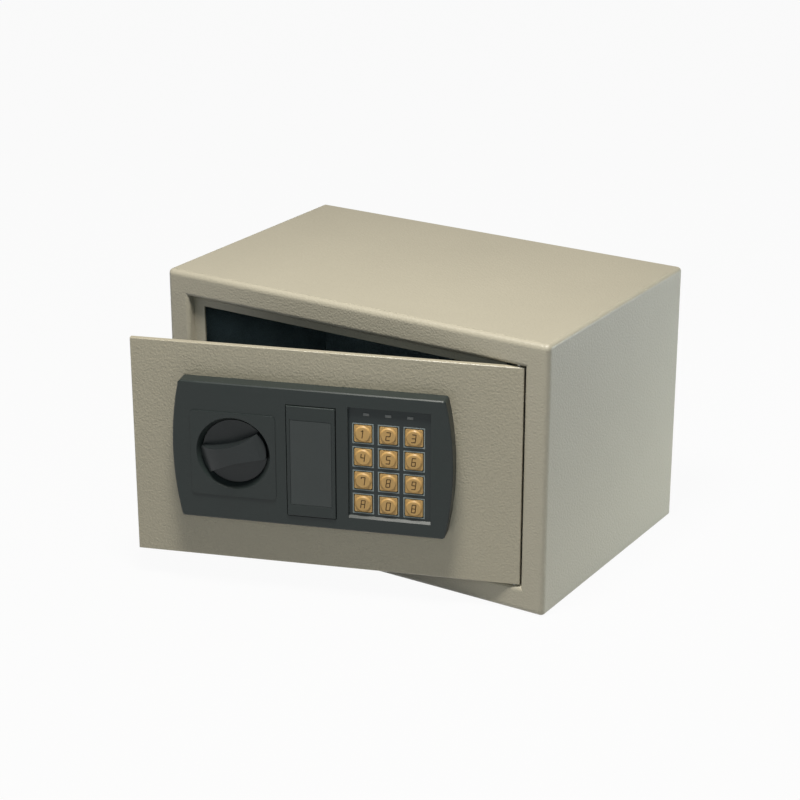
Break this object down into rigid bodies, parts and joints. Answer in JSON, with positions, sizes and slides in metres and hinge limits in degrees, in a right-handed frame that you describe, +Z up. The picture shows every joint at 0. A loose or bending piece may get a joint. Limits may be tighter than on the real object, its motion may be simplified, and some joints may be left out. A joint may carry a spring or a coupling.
{
  "type": "in-room safe",
  "caption": "Small steel in-room safe: folded cabinet, plate door on concealed pins standing ajar, keypad housing with turning knob, coupled locking bolts.",
  "frame": {"origin": "centre of the cabinet's footprint, on its base", "axes": "+X towards the hinge side as seen from the front, +Y towards the back, +Z up"},
  "size_m": [0.312, 0.2886, 0.196],
  "materials": {
    "cabinet_paint": "textured powder coat, satin",
    "door_paint": "coarse textured powder coat, satin",
    "inner_cover_paint": "fine textured powder coat, matt",
    "lining_felt": "short charcoal felt",
    "bare_steel": "ground steel, oiled",
    "zinc_steel": "zinc plated",
    "bolt_chrome": "turned and chromed",
    "lock_chrome": "nickel plated",
    "lock_brass": "machined",
    "bush_brass": "turned",
    "housing_plastic": "fine grained, semi matt",
    "knob_plastic": "fine grained, semi matt",
    "panel_plastic": "semi matt",
    "black_plastic": "matt",
    "key_plastic": "amber moulding, soft gloss",
    "lens_plastic": "smoked, glossy",
    "circuit_board": "green solder mask",
    "ribbon_plastic": "grey flat lead",
    "cell_metal": "plain wrapped cells",
    "red_plastic": "glossy"
  },
  "bodies": {
    "cabinet": {"body_wrap": "cabinet_paint", "back_panel": "cabinet_paint", "door_seat_frame": "cabinet_paint", "hinge_plates": "cabinet_paint", "floor_mat": "lining_felt", "lining_back": "lining_felt", "lining_wrap": "lining_felt"},
    "door": {"door_plate": "door_paint", "hinge_blocks": "bare_steel", "hinge_pins": "bare_steel", "keypad_bezel": "housing_plastic", "keypad_panel": "panel_plastic", "indicator_lenses": "lens_plastic", "keypad_board": "circuit_board", "tact_switches": "black_plastic", "keypad_ribbon": "ribbon_plastic", "bezel_screws": "zinc_steel", "spindle_bush": "bush_brass", "lock_cylinder": "lock_chrome", "lock_nut": "zinc_steel", "bolt_guide_bracket": "zinc_steel", "guide_studs": "zinc_steel", "solenoid_bracket": "zinc_steel", "solenoid_body": "zinc_steel", "cover_posts": "zinc_steel", "board_posts": "zinc_steel", "control_board": "circuit_board", "battery_tray": "black_plastic", "batteries": "cell_metal", "mechanism_cover": "inner_cover_paint", "cover_screws": "zinc_steel"},
    "knob": {"knob": "knob_plastic", "knob_spindle": "bare_steel", "crank_arm": "zinc_steel", "spindle_screw": "zinc_steel"},
    "bolts": {"bolt_carriage": "zinc_steel", "locking_bolts": "bolt_chrome"},
    "plunger": {"solenoid_plunger": "bare_steel", "plunger_spring": "bare_steel"},
    "lock_barrel": {"lock_plug": "lock_brass", "lock_cam": "zinc_steel"},
    "lock_cover": {"override_cover": "housing_plastic"},
    "battery_door": {"battery_cover": "black_plastic"},
    "reset": {"reset_button": "red_plastic"},
    "key_1": {"key_1": "key_plastic"},
    "key_2": {"key_2": "key_plastic"},
    "key_3": {"key_3": "key_plastic"},
    "key_4": {"key_4": "key_plastic"},
    "key_5": {"key_5": "key_plastic"},
    "key_6": {"key_6": "key_plastic"},
    "key_7": {"key_7": "key_plastic"},
    "key_8": {"key_8": "key_plastic"},
    "key_9": {"key_9": "key_plastic"},
    "key_0": {"key_0": "key_plastic"},
    "key_a": {"key_a": "key_plastic"},
    "key_b": {"key_b": "key_plastic"}
  },
  "joints": [
    {"name": "door_swing", "type": "hinge", "parent": "cabinet", "child": "door", "pos_m": [0.13185, -0.0958, 0.098], "axis": [0, 0, 1], "range_deg": [-19.3, 80.7]},
    {"name": "knob_turn", "type": "hinge", "parent": "door", "child": "knob", "pos_m": [-0.04948, -0.16375, 0.10295], "axis": [0.3305, -0.9438, 0], "range_deg": [0, 80]},
    {"name": "bolt_throw", "type": "slide", "parent": "door", "child": "bolts", "axis": [-0.9438, -0.3305, 0], "range_m": [0, 0.0145]},
    {"name": "plunger_pull", "type": "slide", "parent": "door", "child": "plunger", "axis": [0, 0, 1], "range_m": [0, 0.0035], "stiffness_N_per_m": 150, "springref_m": -0.004, "deforming": ["plunger_spring"]},
    {"name": "lock_turn", "type": "hinge", "parent": "door", "child": "lock_barrel", "pos_m": [0.00233, -0.14561, 0.10325], "axis": [0.3305, -0.9438, 0], "range_deg": [-90, 0]},
    {"name": "lock_cover_pull", "type": "slide", "parent": "door", "child": "lock_cover", "axis": [0.3305, -0.9438, 0], "range_m": [0, 0.015]},
    {"name": "battery_door_pull", "type": "slide", "parent": "door", "child": "battery_door", "axis": [-0.3305, 0.9438, 0], "range_m": [0, 0.015]},
    {"name": "reset_press", "type": "slide", "parent": "door", "child": "reset", "axis": [0.3305, -0.9438, 0], "range_m": [0, 0.0015], "stiffness_N_per_m": 400},
    {"name": "key_1_press", "type": "slide", "parent": "door", "child": "key_1", "axis": [-0.3305, 0.9438, 0], "range_m": [0, 0.0005], "stiffness_N_per_m": 600},
    {"name": "key_2_press", "type": "slide", "parent": "door", "child": "key_2", "axis": [-0.3305, 0.9438, 0], "range_m": [0, 0.0005], "stiffness_N_per_m": 600},
    {"name": "key_3_press", "type": "slide", "parent": "door", "child": "key_3", "axis": [-0.3305, 0.9438, 0], "range_m": [0, 0.0005], "stiffness_N_per_m": 600},
    {"name": "key_4_press", "type": "slide", "parent": "door", "child": "key_4", "axis": [-0.3305, 0.9438, 0], "range_m": [0, 0.0005], "stiffness_N_per_m": 600},
    {"name": "key_5_press", "type": "slide", "parent": "door", "child": "key_5", "axis": [-0.3305, 0.9438, 0], "range_m": [0, 0.0005], "stiffness_N_per_m": 600},
    {"name": "key_6_press", "type": "slide", "parent": "door", "child": "key_6", "axis": [-0.3305, 0.9438, 0], "range_m": [0, 0.0005], "stiffness_N_per_m": 600},
    {"name": "key_7_press", "type": "slide", "parent": "door", "child": "key_7", "axis": [-0.3305, 0.9438, 0], "range_m": [0, 0.0005], "stiffness_N_per_m": 600},
    {"name": "key_8_press", "type": "slide", "parent": "door", "child": "key_8", "axis": [-0.3305, 0.9438, 0], "range_m": [0, 0.0005], "stiffness_N_per_m": 600},
    {"name": "key_9_press", "type": "slide", "parent": "door", "child": "key_9", "axis": [-0.3305, 0.9438, 0], "range_m": [0, 0.0005], "stiffness_N_per_m": 600},
    {"name": "key_0_press", "type": "slide", "parent": "door", "child": "key_0", "axis": [-0.3305, 0.9438, 0], "range_m": [0, 0.0005], "stiffness_N_per_m": 600},
    {"name": "key_a_press", "type": "slide", "parent": "door", "child": "key_a", "axis": [-0.3305, 0.9438, 0], "range_m": [0, 0.0005], "stiffness_N_per_m": 600},
    {"name": "key_b_press", "type": "slide", "parent": "door", "child": "key_b", "axis": [-0.3305, 0.9438, 0], "range_m": [0, 0.0005], "stiffness_N_per_m": 600}
  ],
  "couplings": [
    {"joint": "knob_turn", "follows": "bolt_throw", "rad_per_m": 96.29}
  ]
}
